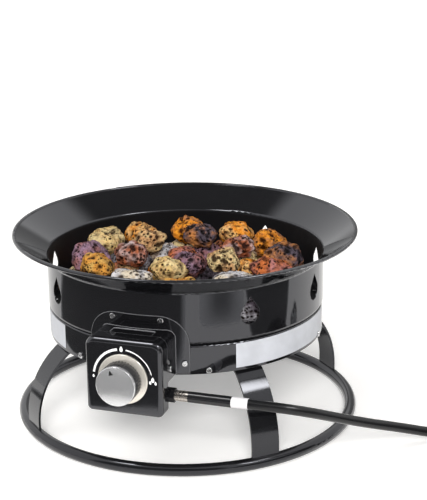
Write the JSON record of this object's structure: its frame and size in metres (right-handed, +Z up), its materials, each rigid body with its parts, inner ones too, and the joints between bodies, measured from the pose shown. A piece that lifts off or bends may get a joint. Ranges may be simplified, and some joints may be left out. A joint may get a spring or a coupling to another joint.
{
  "type": "portable propane fire pit",
  "caption": "Round black enamel fire bowl of lava rocks on strip legs and a base ring, with a front gas control box, knob, and a coiled hose with its tank regulator.",
  "frame": {"origin": "on the floor, under the centre of the bowl", "axes": "+Z up along the bowl's axis, -Y towards the control box, +X the side where the hose leaves"},
  "size_m": [0.8412, 0.5173, 0.27],
  "materials": {
    "enamel": "gloss",
    "zinc": "satin",
    "chrome": "polished",
    "knob_black": "satin",
    "pointer": "gloss",
    "brass": "satin",
    "stainless": "satin",
    "nut_black": "satin",
    "nickel": "satin",
    "hose": "satin",
    "label": "matte",
    "strap": "matte",
    "casting": "satin",
    "vent_plastic": "satin",
    "tank_nut_plastic": "satin",
    "lava": "rough"
  },
  "bodies": {
    "fire_pit": {"fire_bowl": "enamel", "lower_band": "enamel", "bottom_plate": "enamel", "base_ring": "enamel", "leg_front_right": "enamel", "leg_rear_right": "enamel", "leg_rear_left": "enamel", "leg_front_left": "enamel", "control_housing": "enamel", "control_cover": "enamel", "band_rivets": "zinc", "plate_screws": "zinc", "leg_bolts": "zinc", "leg_nuts": "zinc", "housing_screws": "zinc", "side_screws": "zinc", "bonnet_screws": "zinc", "valve_screws": "zinc", "stem_spring": "zinc", "burner_locknut": "zinc", "regulator_screws": "zinc", "bezel": "chrome", "valve_body": "brass", "valve_bonnet": "brass", "gas_jet": "brass", "inlet_elbow": "brass", "tank_nipple": "brass", "ring_burner": "stainless", "mixer_tube": "stainless", "hose_nut": "nut_black", "hose_ferrule": "nickel", "regulator_ferrule": "nickel", "hose_run": "hose", "hose_coil": "hose", "hose_sleeve": "hose", "nipple_seal": "hose", "hose_tag": "label", "coil_tie": "strap", "regulator_body": "casting", "regulator_cover": "casting", "vent_cap": "vent_plastic", "lava_rock_bed": "lava", "lava_rock_heap": "lava"},
    "push_collar": {"push_collar": "brass"},
    "knob": {"knob_body": "knob_black", "knob_cap": "chrome", "knob_pointer": "pointer", "valve_stem": "zinc"},
    "plug": {"valve_plug": "brass"},
    "tank_nut": {"tank_nut": "tank_nut_plastic"}
  },
  "joints": [
    {"name": "knob_push", "type": "slide", "parent": "fire_pit", "child": "push_collar", "axis": [0, 1, 0], "range_m": [0, 0.003], "stiffness_N_per_m": 900},
    {"name": "knob_turn", "type": "hinge", "parent": "push_collar", "child": "knob", "pos_m": [0, -0.25, 0.136], "axis": [0, -1, 0], "range_deg": [-118, 77]},
    {"name": "plug_turn", "type": "hinge", "parent": "fire_pit", "child": "plug", "pos_m": [0, -0.216, 0.136], "axis": [0, -1, 0], "range_deg": [-118, 77]},
    {"name": "tank_nut_turn", "type": "hinge", "parent": "fire_pit", "child": "tank_nut", "pos_m": [0.56624, 0.1553, 0.02215], "axis": [0.7431, 0.6691, 0], "continuous": true}
  ],
  "couplings": [
    {"joint": "plug_turn", "follows": "knob_turn", "ratio": 1}
  ]
}
